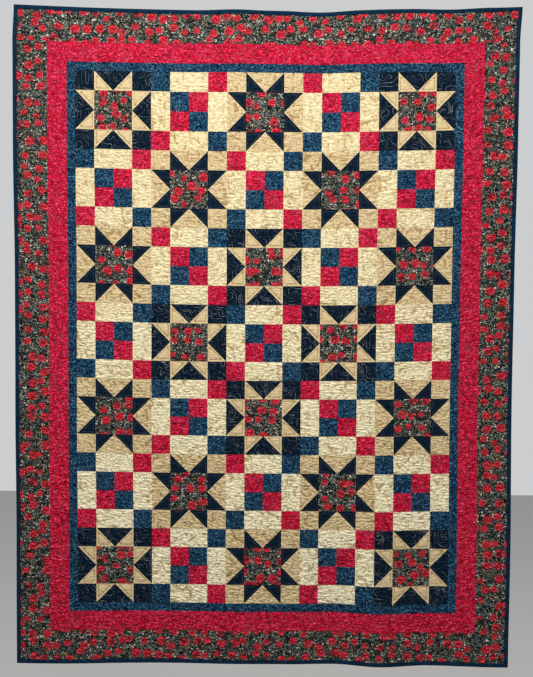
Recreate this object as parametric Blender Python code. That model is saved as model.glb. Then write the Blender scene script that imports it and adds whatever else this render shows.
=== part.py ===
"""A pieced and quilted star quilt, hanging by its top edge.

Metres, +Z up. The quilt's face looks along -Y, and the origin is the middle of its top edge.
Each piece is cut and quilted flat, with x across and z down from there, and then hung in its folds.
"""
import math
from bisect import bisect
from collections import namedtuple

import bmesh
import bpy
from mathutils import Vector

# The patchwork: square patches, a little longer than wide because the quilt's weight stretches them
PATCH_ACROSS = 0.0635
PATCH_DOWN = 0.0643
BLOCK_PATCHES = 4
BLOCK_COLUMNS = 5
BLOCK_ROWS = 7

# Widths of the borders, from the patchwork outwards
INNER_BORDER = 0.029
MIDDLE_BORDER = 0.066
OUTER_BORDER = 0.105
BINDING = 0.0115
MARGIN = INNER_BORDER + MIDDLE_BORDER + OUTER_BORDER + BINDING

PANEL_WIDTH = PATCH_ACROSS * BLOCK_PATCHES * BLOCK_COLUMNS
PANEL_LENGTH = PATCH_DOWN * BLOCK_PATCHES * BLOCK_ROWS
WIDTH = PANEL_WIDTH + 2 * MARGIN
LENGTH = PANEL_LENGTH + 2 * MARGIN

# Top, batting and backing together at a seam, and how far the batting lifts the top between seams
SEAM_THICKNESS = 0.0032
SEAM_SLOPE = 0.0085
PATCH_RISE = 0.0016
PATCH_CROWN = 0.0010
BORDER_CROWN = 0.0019
CROWN_UNEVENNESS = 0.25
CROWN_WAVES = (61.0, 17.0, 23.0, 47.0)
BINDING_THICKNESS = 0.0056
BINDING_ROUNDING = 0.0018

# Room between pieces that are sewn together
SEAM_GAP = 0.0003

# The middle of each row hangs lower than its ends
Sag = namedtuple("Sag", "down drop")
SAGS = (
    Sag(down=0.00, drop=0.018),
    Sag(down=0.21, drop=0.012),
    Sag(down=0.45, drop=0.016),
    Sag(down=1.10, drop=0.016),
    Sag(down=1.55, drop=0.009),
    Sag(down=2.05, drop=0.006),
)

# Small swags and lifts along the top edge and the hem, which fade towards the middle of the quilt
Swag = namedtuple("Swag", "across reach top hem")
SWAGS = (
    Swag(across=-0.850, reach=0.50, top=-0.0022, hem=0.0033),
    Swag(across=-0.103, reach=0.13, top=-0.0034, hem=0.0000),
    Swag(across=0.176, reach=0.14, top=0.0057, hem=0.0000),
    Swag(across=0.415, reach=0.15, top=-0.0013, hem=0.0010),
    Swag(across=0.613, reach=0.13, top=0.0041, hem=0.0000),
    Swag(across=0.850, reach=0.30, top=0.0045, hem=0.0045),
)
SWAG_FADE = 0.20

# How far each side edge bows out from its straight line
Bow = namedtuple("Bow", "down left right")
BOWS = (
    Bow(down=0.00, left=-0.003, right=0.006),
    Bow(down=0.12, left=0.002, right=0.000),
    Bow(down=0.45, left=0.002, right=-0.001),
    Bow(down=0.90, left=-0.003, right=-0.005),
    Bow(down=1.35, left=-0.003, right=-0.007),
    Bow(down=1.80, left=-0.008, right=-0.005),
    Bow(down=LENGTH, left=-0.009, right=-0.008),
)

# Soft folds that run down the cloth: how far each stands forward at the top, half way and at the bottom
Fold = namedtuple("Fold", "across reach top middle bottom")
FOLDS = (
    Fold(across=-0.85, reach=0.70, top=0.000, middle=0.003, bottom=0.022),
    Fold(across=-0.42, reach=0.26, top=0.002, middle=0.004, bottom=-0.004),
    Fold(across=-0.10, reach=0.17, top=0.003, middle=-0.003, bottom=0.003),
    Fold(across=0.24, reach=0.16, top=-0.003, middle=0.002, bottom=-0.007),
    Fold(across=0.41, reach=0.17, top=0.000, middle=0.003, bottom=0.018),
    Fold(across=0.85, reach=0.38, top=0.002, middle=-0.003, bottom=0.010),
)

# Edges that turn more than this stay sharp, in degrees
SHARP_ANGLE = 40

# Colour and roughness of each cloth
COLOURS = {
    "pieced_cotton": (0.76, 0.66, 0.44, 0.88),
    "blue_cotton": (0.015, 0.07, 0.19, 0.86),
    "crimson_cotton": (0.58, 0.012, 0.055, 0.86),
    "rose_print_cotton": (0.10, 0.085, 0.075, 0.88),
    "navy_cotton": (0.006, 0.02, 0.06, 0.85),
}


def clear_scene():
    """Takes every object out of the scene."""
    for old in list(bpy.data.objects):
        bpy.data.objects.remove(old, do_unlink=True)


def ease(share):
    """A smooth rise from 0 to 1."""
    share = min(max(share, 0.0), 1.0)
    return share * share * (3 - 2 * share)


def hump(distance, reach):
    """A smooth hump, 1 in its middle and 0 from its reach outwards."""
    if abs(distance) >= reach:
        return 0.0
    return 0.5 + 0.5 * math.cos(math.pi * distance / reach)


def eased(rows, down, column):
    """A table's column at a height, eased from each row to the next."""
    below = min(max(bisect([row.down for row in rows], down), 1), len(rows) - 1)
    upper, lower = rows[below - 1], rows[below]
    share = ease((down - upper.down) / (lower.down - upper.down))
    start, end = getattr(upper, column), getattr(lower, column)
    return start + (end - start) * share


def drop(across, down):
    """How far a point hangs below its place in a straight, flat quilt."""
    total = (1 - (2 * across / WIDTH) ** 2) * eased(SAGS, down, "drop")
    near_top, near_hem = math.exp(-down / SWAG_FADE), math.exp((down - LENGTH) / SWAG_FADE)
    for swag in SWAGS:
        depth = swag.top * near_top + swag.hem * near_hem
        total += depth * hump(across - swag.across, swag.reach)
    return total


def bow(across, down):
    """How far a point lies to the right of its place in a straight, flat quilt."""
    side = "left" if across < 0 else "right"
    return 2 * across / WIDTH * eased(BOWS, down, side)


def forward(across, down):
    """How far the folds bring a point towards the viewer."""
    half = LENGTH / 2
    total = 0.0
    for fold in FOLDS:
        if down < half:
            depth = fold.top + (fold.middle - fold.top) * ease(down / half)
        else:
            depth = fold.middle + (fold.bottom - fold.middle) * ease((down - half) / half)
        total += depth * hump(across - fold.across, fold.reach)
    return total


def hang(flat):
    """Where a point of the flat quilt hangs. It keeps its own depth, so a piece keeps its thickness."""
    across, down = flat.x, -flat.z
    shift = Vector((bow(across, down), -forward(across, down), -drop(across, down)))
    top_middle = Vector((bow(0, 0), -forward(0, 0), -drop(0, 0)))
    return flat + shift - top_middle


def border_lines():
    """The seams of the borders and the rows of puffs between them, as distances in from the edge."""
    outer_seam = BINDING + OUTER_BORDER
    middle_seam = outer_seam + MIDDLE_BORDER
    return [0.0, BINDING, BINDING + OUTER_BORDER / 2, outer_seam, middle_seam, MARGIN]


def all_lines(length, patch, patches):
    """Every line along one side of the quilt where its puffs meet, from edge to edge."""
    near = border_lines()
    middle = [MARGIN + patch * number for number in range(1, patches)]
    far = [length - line for line in reversed(near)]
    return near + middle + far


SIDE_LINES = all_lines(WIDTH, PATCH_ACROSS, BLOCK_PATCHES * BLOCK_COLUMNS)
ACROSS_LINES = [line - WIDTH / 2 for line in SIDE_LINES]
DOWN_LINES = all_lines(LENGTH, PATCH_DOWN, BLOCK_PATCHES * BLOCK_ROWS)


def lines_between(lines, start, end):
    """The lines from start to end, with the two outermost drawn in to leave half a seam gap."""
    inside = [line for line in lines if start - SEAM_GAP <= line <= end + SEAM_GAP]
    inside[0] += SEAM_GAP / 2
    inside[-1] -= SEAM_GAP / 2
    return inside


def cut_layers(across, down, thickness):
    """A flat quilted sheet, its face towards -Y, with a face of the front between each two lines."""
    mesh = bmesh.new()
    columns, rows = len(across) - 1, len(down) - 1
    bmesh.ops.create_grid(mesh, x_segments=columns, y_segments=rows, size=0.5)
    for vert in mesh.verts:
        column = round((vert.co.x + 0.5) * columns)
        row = round((0.5 - vert.co.y) * rows)
        vert.co = (across[column], 0, -down[row])
    back = bmesh.ops.extrude_face_region(mesh, geom=mesh.faces[:], use_keep_orig=True)
    for element in back["geom"]:
        if isinstance(element, bmesh.types.BMVert):
            element.co.y += thickness
    bmesh.ops.recalc_face_normals(mesh, faces=mesh.faces[:])
    return mesh


def front_faces(mesh):
    """The faces of a flat sheet that look towards the viewer."""
    return [face for face in mesh.faces if face.normal.y < -0.5]


def make_object(name, mesh, cloth, parts):
    """Hangs a flat piece in the quilt's folds and makes it an object in its cloth's colour."""
    for vert in mesh.verts:
        vert.co = hang(vert.co)
    data = bpy.data.meshes.new(name)
    mesh.to_mesh(data)
    mesh.free()
    data.shade_smooth()
    data.set_sharp_from_angle(angle=math.radians(SHARP_ANGLE))
    red, green, blue, roughness = COLOURS[cloth]
    material = bpy.data.materials.get(cloth) or bpy.data.materials.new(cloth)
    material.use_nodes = True
    shader = material.node_tree.nodes["Principled BSDF"]
    shader.inputs["Base Color"].default_value = (red, green, blue, 1)
    shader.inputs["Roughness"].default_value = roughness
    shader.inputs["Metallic"].default_value = 0
    data.materials.append(material)
    piece = bpy.data.objects.new(name, data)
    parts.objects.link(piece)
    return piece


def place_in_block(point):
    """The block that a point of the patchwork lies in, and its place there in patches."""
    across = (point.x + PANEL_WIDTH / 2) / PATCH_ACROSS
    down = (-point.z - MARGIN) / PATCH_DOWN
    column, row = int(across // BLOCK_PATCHES), int(down // BLOCK_PATCHES)
    return column, row, across - column * BLOCK_PATCHES, down - row * BLOCK_PATCHES


def star_patch(x, y):
    """Which patch of a star block a place lies in: a corner, the centre, a point or between two points."""
    column, row = int(x), int(y)
    if column in (0, 3) and row in (0, 3):
        return "corner", column, row
    if column in (1, 2) and row in (1, 2):
        return "centre", 0, 0
    if row in (0, 3):
        side, along, inward = ("top", x, y) if row == 0 else ("bottom", x, 4 - y)
    else:
        side, along, inward = ("left", y, x) if column == 0 else ("right", y, 4 - x)
    if abs(along - 2) + inward < 1:
        return side, "between", 0
    return side, "point", along > 2


def chain_patch(x, y):
    """Which patch of a chain block a place lies in: a square of the chain or one of four oblongs."""
    column, row = int(x), int(y)
    if row in (0, 3) and column in (1, 2):
        return "oblong", 1, row
    if column in (0, 3) and row in (1, 2):
        return "oblong", column, 1
    return "square", column, row


def patch_at(point):
    """The one patch of the patchwork that a point lies in."""
    column, row, x, y = place_in_block(point)
    is_star = (column + row) % 2 == 0
    return (column, row) + (star_patch(x, y) if is_star else chain_patch(x, y))


def cut_star_points(mesh):
    """Cuts the square faces at the sides of each star's centre from corner to corner."""
    inner_corners = {(2, 1), (2, 3), (1, 2), (3, 2)}
    for face in front_faces(mesh):
        column, row, x, y = place_in_block(face.calc_center_median())
        if (column + row) % 2 or (int(x) in (0, 3)) == (int(y) in (0, 3)):
            continue
        verts = list(face.verts)
        for number, vert in enumerate(verts):
            _, _, corner_x, corner_y = place_in_block(vert.co)
            corner = (round(corner_x) % BLOCK_PATCHES, round(corner_y) % BLOCK_PATCHES)
            if corner in inner_corners:
                bmesh.utils.face_split(face, vert, verts[(number + 2) % 4])
                break


def join_patches(mesh):
    """Takes out the lines that run inside one patch, so that each patch is one face."""
    inside = []
    for edge in mesh.edges:
        if len(edge.link_faces) == 2 and all(face.normal.y < -0.5 for face in edge.link_faces):
            one, other = (patch_at(face.calc_center_median()) for face in edge.link_faces)
            if one == other:
                inside.append(edge)
    bmesh.ops.dissolve_edges(mesh, edges=inside, use_verts=False)
    loose = [vert for vert in mesh.verts if not vert.link_faces]
    bmesh.ops.delete(mesh, geom=loose, context="VERTS")


def pieced_centre(parts):
    """The patchwork of star and chain blocks, each patch puffed up between its seams."""
    across = lines_between(ACROSS_LINES, -PANEL_WIDTH / 2, PANEL_WIDTH / 2)
    down = lines_between(DOWN_LINES, MARGIN, LENGTH - MARGIN)
    mesh = cut_layers(across, down, SEAM_THICKNESS)
    cut_star_points(mesh)
    join_patches(mesh)
    patches = front_faces(mesh)
    bmesh.ops.inset_individual(
        mesh, faces=patches, thickness=SEAM_SLOPE, depth=PATCH_RISE, use_even_offset=True
    )
    bmesh.ops.poke(mesh, faces=patches, offset=PATCH_CROWN)
    make_object("pieced_centre", mesh, "pieced_cotton", parts)


def crown(point):
    """How high a puff of a border stands. The puffs are a little uneven."""
    one_across, one_down, other_across, other_down = CROWN_WAVES
    one = math.sin(one_across * point.x + one_down * point.z)
    other = math.cos(other_across * point.x - other_down * point.z)
    return BORDER_CROWN * (1 + CROWN_UNEVENNESS * one * other)


def border(name, left, right, top, bottom, cloth, parts):
    """A strip of a border, with a puff between each two lines."""
    across = lines_between(ACROSS_LINES, left, right)
    down = lines_between(DOWN_LINES, top, bottom)
    mesh = cut_layers(across, down, SEAM_THICKNESS)
    puffs = bmesh.ops.poke(mesh, faces=front_faces(mesh))
    for vert in puffs["verts"]:
        vert.co.y -= crown(vert.co)
    make_object(name, mesh, cloth, parts)


def border_ring(name, outer, inner, cloth, parts):
    """Four strips round the quilt: the sides first, then the top and bottom across their full width."""
    half = WIDTH / 2
    border(name + "_left", outer - half, inner - half, inner, LENGTH - inner, cloth, parts)
    border(name + "_right", half - inner, half - outer, inner, LENGTH - inner, cloth, parts)
    border(name + "_top", outer - half, half - outer, outer, inner, cloth, parts)
    border(name + "_bottom", outer - half, half - outer, LENGTH - inner, LENGTH - outer, cloth, parts)


def binding_side(name, across, down, parts):
    """One length of the binding, rounded along the quilt's edge and mitred at both ends."""
    mesh = cut_layers(across, down, BINDING_THICKNESS)
    for vert in mesh.verts:
        vert.co.y -= (BINDING_THICKNESS - SEAM_THICKNESS) / 2
        mitre(vert.co, len(across) > len(down))
    rim = [edge for edge in mesh.edges if on_rim(edge)]
    bmesh.ops.bevel(mesh, geom=rim, offset=BINDING_ROUNDING, segments=1, affect="EDGES", profile=0.5)
    make_object(name, mesh, "navy_cotton", parts)


def from_edge(point):
    """How far in a point lies from the nearer side edge, and from the nearer of the top and bottom."""
    return WIDTH / 2 - abs(point.x), min(-point.z, LENGTH + point.z)


def mitre(point, runs_across):
    """Cuts a point at an end of the binding back to the slope of the mitre, leaving half a seam gap."""
    room = SEAM_GAP / 2 * math.sqrt(2)
    from_side, from_top = from_edge(point)
    if runs_across and from_side < from_top + room:
        point.x = math.copysign(WIDTH / 2 - from_top - room, point.x)
    elif not runs_across and from_top < from_side + room:
        line = from_side + room
        point.z = -line if point.z > -LENGTH / 2 else line - LENGTH


def on_rim(edge):
    """Whether an edge runs along the outside of the binding, front or back."""
    one, other = edge.verts
    if abs(one.co.y - other.co.y) > SEAM_GAP:
        return False
    return all(min(from_edge(vert.co)) < SEAM_GAP for vert in edge.verts)


def binding(parts):
    """The binding's four lengths."""
    half = WIDTH / 2
    across = [line for line in ACROSS_LINES if abs(abs(line) - (half - BINDING)) > SEAM_GAP]
    down = [line for line in DOWN_LINES if BINDING + SEAM_GAP < line < LENGTH - BINDING - SEAM_GAP]
    down = [0.0] + down + [LENGTH]
    inset = SEAM_GAP / 2
    top_lines = [inset, BINDING - inset]
    bottom_lines = [LENGTH - BINDING + inset, LENGTH - inset]
    binding_side("binding_top", across, top_lines, parts)
    binding_side("binding_bottom", across, bottom_lines, parts)
    binding_side("binding_left", [inset - half, BINDING - inset - half], down, parts)
    binding_side("binding_right", [half - BINDING + inset, half - inset], down, parts)


def main():
    """Makes the quilt in its own collection."""
    clear_scene()
    parts = bpy.data.collections.new("star_quilt")
    bpy.context.scene.collection.children.link(parts)
    outer_seam = BINDING + OUTER_BORDER
    middle_seam = outer_seam + MIDDLE_BORDER
    pieced_centre(parts)
    border_ring("inner_border", middle_seam, MARGIN, "blue_cotton", parts)
    border_ring("middle_border", outer_seam, middle_seam, "crimson_cotton", parts)
    border_ring("outer_border", BINDING, outer_seam, "rose_print_cotton", parts)
    binding(parts)


main()
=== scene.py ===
"""Dresses the star quilt in its printed cottons, its quilting, its stitches and its folded binding.

Each sheet is laid out flat, with across and down in metres from the middle of the quilt's top
edge. It is puffed up between its lines of quilting, and then hung in the folds of the solids.
"""
import math
from collections import namedtuple

import bpy
import numpy as np
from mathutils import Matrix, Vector


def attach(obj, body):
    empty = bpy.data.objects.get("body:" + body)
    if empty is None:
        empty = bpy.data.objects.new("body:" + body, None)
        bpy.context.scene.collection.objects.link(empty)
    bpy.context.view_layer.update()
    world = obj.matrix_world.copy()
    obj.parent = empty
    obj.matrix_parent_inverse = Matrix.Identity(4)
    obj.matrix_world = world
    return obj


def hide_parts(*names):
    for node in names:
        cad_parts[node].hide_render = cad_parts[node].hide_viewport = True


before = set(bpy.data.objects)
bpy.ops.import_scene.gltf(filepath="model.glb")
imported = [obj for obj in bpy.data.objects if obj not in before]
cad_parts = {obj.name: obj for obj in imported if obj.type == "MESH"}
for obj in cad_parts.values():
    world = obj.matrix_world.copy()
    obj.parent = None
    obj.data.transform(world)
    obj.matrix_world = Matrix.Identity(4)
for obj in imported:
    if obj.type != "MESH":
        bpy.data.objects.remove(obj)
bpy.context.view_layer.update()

# The quilt's own measures, as in the solids
PATCH_ACROSS = 0.0635
PATCH_DOWN = 0.0643
BLOCK_PATCHES = 4
BLOCK_COLUMNS = 5
BLOCK_ROWS = 7
INNER_BORDER = 0.029
MIDDLE_BORDER = 0.066
OUTER_BORDER = 0.105
BINDING = 0.0115
OUTER_SEAM = BINDING + OUTER_BORDER
MIDDLE_SEAM = OUTER_SEAM + MIDDLE_BORDER
MARGIN = MIDDLE_SEAM + INNER_BORDER
PANEL_WIDTH = PATCH_ACROSS * BLOCK_PATCHES * BLOCK_COLUMNS
PANEL_LENGTH = PATCH_DOWN * BLOCK_PATCHES * BLOCK_ROWS
WIDTH = PANEL_WIDTH + 2 * MARGIN
LENGTH = PANEL_LENGTH + 2 * MARGIN
SEAM_THICKNESS = 0.0032

# How the quilt hangs, as in the solids
Sag = namedtuple("Sag", "down drop")
SAGS = (
    Sag(down=0.00, drop=0.018),
    Sag(down=0.21, drop=0.012),
    Sag(down=0.45, drop=0.016),
    Sag(down=1.10, drop=0.016),
    Sag(down=1.55, drop=0.009),
    Sag(down=2.05, drop=0.006),
)
Swag = namedtuple("Swag", "across reach top hem")
SWAGS = (
    Swag(across=-0.850, reach=0.50, top=-0.0022, hem=0.0033),
    Swag(across=-0.103, reach=0.13, top=-0.0034, hem=0.0000),
    Swag(across=0.176, reach=0.14, top=0.0057, hem=0.0000),
    Swag(across=0.415, reach=0.15, top=-0.0013, hem=0.0010),
    Swag(across=0.613, reach=0.13, top=0.0041, hem=0.0000),
    Swag(across=0.850, reach=0.30, top=0.0045, hem=0.0045),
)
SWAG_FADE = 0.20
Bow = namedtuple("Bow", "down left right")
BOWS = (
    Bow(down=0.00, left=-0.003, right=0.006),
    Bow(down=0.12, left=0.002, right=0.000),
    Bow(down=0.45, left=0.002, right=-0.001),
    Bow(down=0.90, left=-0.003, right=-0.005),
    Bow(down=1.35, left=-0.003, right=-0.007),
    Bow(down=1.80, left=-0.008, right=-0.005),
    Bow(down=LENGTH, left=-0.009, right=-0.008),
)
Fold = namedtuple("Fold", "across reach top middle bottom")
FOLDS = (
    Fold(across=-0.85, reach=0.70, top=0.000, middle=0.003, bottom=0.022),
    Fold(across=-0.42, reach=0.26, top=0.002, middle=0.004, bottom=-0.004),
    Fold(across=-0.10, reach=0.17, top=0.003, middle=-0.003, bottom=0.003),
    Fold(across=0.24, reach=0.16, top=-0.003, middle=0.002, bottom=-0.007),
    Fold(across=0.41, reach=0.17, top=0.000, middle=0.003, bottom=0.018),
    Fold(across=0.85, reach=0.38, top=0.002, middle=-0.003, bottom=0.010),
)

# The fine grid of the quilt's face: cells across each border and each patch, how far the binding
# hides the cloth, the cells of the back, and how near to a cell's sides its patches are looked up
BORDER_CELLS = (30, 19, 8)
PATCH_CELLS = 18
TUCK = 0.002
BACKING_CELL = 0.009
NEAR_SIDE = 0.1

# The quilting: a wandering line whose runs lie so far apart, wound up here and there into curls,
# and the triangles in the star points. Old neighbours are dropped from a list that grows too long
RUN_SPACING = 0.0127
RUN_WANDER = 0.0016
CURL_PITCH = 0.052
CURL_JITTER = 0.013
CURL_REACH = (0.020, 0.034)
CURL_TURN = (1.6, 3.0)
ECHO_INSET = 0.0066
LINE_STEPS = 8
LONGEST_FRONTIER = 400
SEED = 1862

# How the batting puffs up the face, on a map of heights with a point every so many metres
MAP_STEP = 0.002
PUFF = 0.0038
PUFF_SPREADS = 60
PUFF_PRESSURE = 0.00034
PUFF_UNEVENNESS = 0.35
PUFF_LUMP = 0.025
RIPPLE_SIZE = (0.0138, 0.0096)
RIPPLE_SHARE = 0.92
STAR_POINT_RIPPLE = 0.3
SEAM_HEIGHT = 0.0020
BACK_SHARE = 0.35

# The stitches
STITCH_PITCH = 0.0040
STITCH_LENGTH = 0.0030
STITCH_WIDTH = 0.0007
STITCH_LIFT = 0.00028
BACK_STITCH_PITCH = 0.0080
BACK_STITCH_LENGTH = 0.0064

# The folded binding, from the front over the edge to the back: how far in from the edge, and how
# deep behind the seams of the face
BINDING_PROFILE = (
    (0.0143, 0.0004),
    (0.0142, -0.0010),
    (0.0132, -0.0020),
    (0.0100, -0.0023),
    (0.0062, -0.0022),
    (0.0030, -0.0018),
    (0.0010, -0.0008),
    (0.0002, 0.0008),
    (0.0002, 0.0024),
    (0.0012, 0.0037),
    (0.0030, 0.0045),
    (0.0060, 0.0047),
    (0.0095, 0.0043),
    (0.0112, 0.0037),
    (0.0117, 0.0028),
)
BINDING_STEP = 0.0036
BINDING_WAVE = 0.00025
BINDING_WAVE_STEPS = 9
BINDING_WAVE_SHARE = 0.6

# The camera, as found from the seams' places in the picture
IMAGE_SIZE = (533, 677)
FOCAL_PIXELS = 900
CAMERA_PLACE = (0.0506, -3.0382, -0.9713)
CAMERA_ANGLES = (87.695, -0.342, 0.796)

# The studio: the sun, its height, side and softness in degrees, the lamps, and the surround's light
# in front of the quilt, high up there and behind it
KEY_STRENGTH = 1.14
KEY_HEIGHT = 72.0
KEY_SIDE = -12.0
KEY_SOFTNESS = 9.0
KEY_COLOUR = (1.0, 0.98, 0.96)
Lamp = namedtuple("Lamp", "name place target size power colour")
LAMPS = (
    Lamp("lamp", (-0.2, -2.2, 0.40), (0, 0, -0.4), (1.2, 0.4), 55.0, (1.0, 0.95, 0.87)),
    Lamp("back_lamp", (0.6, 1.7, 1.3), (0, 0, -1.2), (1.2, 0.5), 60.0, (1.0, 0.98, 0.95)),
)
FRONT_AMBIENT = 0.24
HIGH_AMBIENT = 0.04
BACK_AMBIENT = 0.62
FLOOR_DROP = 2.9
FLOOR_HALF = 6.0
FLOOR_GREY = 0.45
SURROUND_COLOUR = (0.98, 0.99, 1.0, 1)

# The cloths. The last is no cloth of its own: it is the navy in the points of a star, which has a
# dimmer thread
CREAM, TAN, NAVY, BLUE, CRIMSON, ROSE, DARK_STAR_POINT = range(7)

# The thread on each of them: a dim colour, painted shade where it has sunk in, and its bright colour,
# partly a painted highlight, where it lies on top
THREADS = (
    ("cream_thread", (212, 190, 142), (238, 224, 186)),
    ("tan_thread", (196, 168, 116), (224, 200, 150)),
    ("midnight_thread", (84, 100, 120), (214, 222, 230)),
    ("blue_thread", (66, 112, 146), (164, 194, 212)),
    ("crimson_thread", (200, 44, 78), (255, 146, 170)),
    ("print_thread", (52, 58, 56), (120, 118, 106)),
    ("star_point_thread", (54, 70, 92), (116, 132, 154)),
)
# The thread on the back, darker than the backing: painted shade of the dimples that the quilting
# sinks into it
BACK_THREAD_AND_DIMPLE_SHADE = ("back_thread_and_dimple_shade", (112, 98, 72), (156, 142, 110))

# How wide a thread of the woven cloth is, and the share of a full puff up to which the cloth has
# some painted shade, a darker valley colour along its quilting and seams
WEAVE = 0.00045
SHADED_VALLEY_HEIGHT = 0.4

# The points of a sheet as it hangs, their places while it is flat, how proud of the seams each stands
# and the ways it looks there, or None where the faces say enough
Sheet = namedtuple("Sheet", "points flat proud normals")
NO_TRIANGLES = np.zeros((0, 3), int)

# Steps of this share of 1 give each patch a shade of its own
GOLDEN_SHARE = 0.618

# How the patches of a block are numbered: a star has its centre first, then its corners, and then
# three to a side, the ground between two points and both points. A chain has its sides and then
# its squares
NUMBERS_PER_BLOCK = 40
FIRST_CORNER = 1
FIRST_SIDE = 5
PATCHES_PER_SIDE = 3
FIRST_CHAIN_SIDE = 17
FIRST_CHAIN_SQUARE = 21


def ease(share):
    """A smooth rise from 0 to 1."""
    share = np.clip(share, 0.0, 1.0)
    return share * share * (3 - 2 * share)


def hump(distance, reach):
    """A smooth hump, 1 in its middle and 0 from its reach outwards."""
    return 0.5 + 0.5 * np.cos(np.pi * np.clip(distance / reach, -1, 1))


def eased(rows, down, column):
    """A table's column at each height, eased from each row to the next."""
    places = np.array([row.down for row in rows])
    values = np.array([getattr(row, column) for row in rows])
    below = np.clip(np.searchsorted(places, down, side="right"), 1, len(rows) - 1)
    share = ease((down - places[below - 1]) / (places[below] - places[below - 1]))
    return values[below - 1] + (values[below] - values[below - 1]) * share


def drop(across, down):
    """How far a point hangs below its place in a straight, flat quilt."""
    total = (1 - (2 * across / WIDTH) ** 2) * eased(SAGS, down, "drop")
    near_top, near_hem = np.exp(-down / SWAG_FADE), np.exp((down - LENGTH) / SWAG_FADE)
    for swag in SWAGS:
        total += (swag.top * near_top + swag.hem * near_hem) * hump(across - swag.across, swag.reach)
    return total


def bow(across, down):
    """How far a point lies to the right of its place in a straight, flat quilt."""
    side = np.where(across < 0, eased(BOWS, down, "left"), eased(BOWS, down, "right"))
    return 2 * across / WIDTH * side


def forward(across, down):
    """How far the folds bring a point towards the viewer."""
    half = LENGTH / 2
    upper, lower = ease(down / half), ease(down / half - 1)
    total = np.zeros_like(across)
    for fold in FOLDS:
        depth = fold.top + (fold.middle - fold.top) * upper + (fold.bottom - fold.middle) * lower
        total += depth * hump(across - fold.across, fold.reach)
    return total


def hang(across, down, depth):
    """Where points of the flat quilt hang. Each keeps its own depth behind the seams of the face."""
    top = np.zeros(1)
    return np.stack(
        [
            across + bow(across, down) - bow(top, top),
            depth - forward(across, down) + forward(top, top),
            -down - drop(across, down) + drop(top, top),
        ],
        axis=-1,
    )


def grid_lines(length):
    """Every line of the fine grid along one side of the quilt, as distances from its first edge."""
    seams = [BINDING - TUCK, OUTER_SEAM, MIDDLE_SEAM, MARGIN]
    seams += [length - seam for seam in reversed(seams)]
    patches = BLOCK_PATCHES * (BLOCK_COLUMNS if length == WIDTH else BLOCK_ROWS)
    cells = BORDER_CELLS + (PATCH_CELLS * patches,) + BORDER_CELLS[::-1]
    spans = [
        np.linspace(start, end, count, endpoint=False)
        for start, end, count in zip(seams, seams[1:], cells)
    ]
    return np.append(np.concatenate(spans), seams[-1]), np.concatenate([[0], np.cumsum(cells)])


ACROSS_LINES, COLUMN_SEAMS = grid_lines(WIDTH)
ACROSS_LINES = ACROSS_LINES - WIDTH / 2
DOWN_LINES, ROW_SEAMS = grid_lines(LENGTH)


def patches_at(across, down):
    """The number of the patch at each place of the patchwork, and the cloth that it is cut from."""
    u = (across + PANEL_WIDTH / 2) / PATCH_ACROSS
    v = (down - MARGIN) / PATCH_DOWN
    column = np.floor(u / BLOCK_PATCHES).astype(int)
    row = np.floor(v / BLOCK_PATCHES).astype(int)
    x, y = u - column * BLOCK_PATCHES, v - row * BLOCK_PATCHES
    last = BLOCK_PATCHES - 1
    left, right, top, bottom = x < 1, x > last, y < 1, y > last
    at_side, at_end = left | right, top | bottom

    corner = at_side & at_end
    centre = ~at_side & ~at_end
    along = np.where(at_end, x, y)
    inward = np.select([top, bottom, left], [y, BLOCK_PATCHES - y, x], BLOCK_PATCHES - x)
    between = ~corner & ~centre & (abs(along - BLOCK_PATCHES / 2) + inward < 1)
    side = np.select([top, bottom, left], [0, 1, 2], 3)
    star_number = np.select(
        [centre, corner, between],
        [0, FIRST_CORNER + right + 2 * bottom, FIRST_SIDE + PATCHES_PER_SIDE * side],
        FIRST_SIDE + 1 + PATCHES_PER_SIDE * side + (along > BLOCK_PATCHES / 2),
    )
    from_centre = abs(column - BLOCK_COLUMNS // 2) + abs(row - BLOCK_ROWS // 2)
    dark_ground = (from_centre == 1) | (from_centre == BLOCK_COLUMNS // 2 + BLOCK_ROWS // 2)
    on_ground = corner | between
    star_cloth = np.where(centre, ROSE, np.where(on_ground == dark_ground, NAVY, TAN))

    square = corner | centre
    step_x, step_y = np.floor(x).astype(int), np.floor(y).astype(int)
    square_number = FIRST_CHAIN_SQUARE + step_x + BLOCK_PATCHES * step_y
    chain_number = np.where(square, square_number, FIRST_CHAIN_SIDE + side)
    falls = np.where((column + row) % 4 == 1, step_x == step_y, step_x + step_y == last)
    chain_cloth = np.where(square, np.where(falls, BLUE, CRIMSON), CREAM)

    is_star = (column + row) % 2 == 0
    number = np.where(is_star, star_number, chain_number)
    block = column + BLOCK_COLUMNS * row
    return block * NUMBERS_PER_BLOCK + number, np.where(is_star, star_cloth, chain_cloth)


def catmull_rom(points, per_step):
    """A smooth line through points, with per_step points to each step."""
    padded = np.concatenate([points[:1], points, points[-1:]])
    before, start, end, after = padded[:-3], padded[1:-2], padded[2:-1], padded[3:]
    t = np.linspace(0, 1, per_step, endpoint=False)[None, :, None]
    before, start, end, after = (part[:, None, :] for part in (before, start, end, after))
    line = 0.5 * (
        2 * start
        + (end - before) * t
        + (2 * before - 5 * start + 4 * end - after) * t**2
        + (3 * start - before - 3 * end + after) * t**3
    )
    return line.reshape(-1, 2)


def wandering_tree(rows, columns, rng):
    """A random tree that joins every cell of a grid, as the set of pairs that it joins."""
    links, reached, frontier = set(), {(0, 0)}, []
    cell = (0, 0)
    while True:
        row, column = cell
        for near in ((row + 1, column), (row, column + 1), (row - 1, column), (row, column - 1)):
            if 0 <= near[0] < rows and 0 <= near[1] < columns and near not in reached:
                frontier.append((cell, near))
        if len(frontier) > LONGEST_FRONTIER:
            frontier = [pair for pair in frontier if pair[1] not in reached]
        while frontier:
            place = rng.integers(len(frontier))
            frontier[place], frontier[-1] = frontier[-1], frontier[place]
            start, cell = frontier.pop()
            if cell not in reached:
                break
        else:
            return links
        reached.add(cell)
        links |= {(start, cell), (cell, start)}


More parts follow.
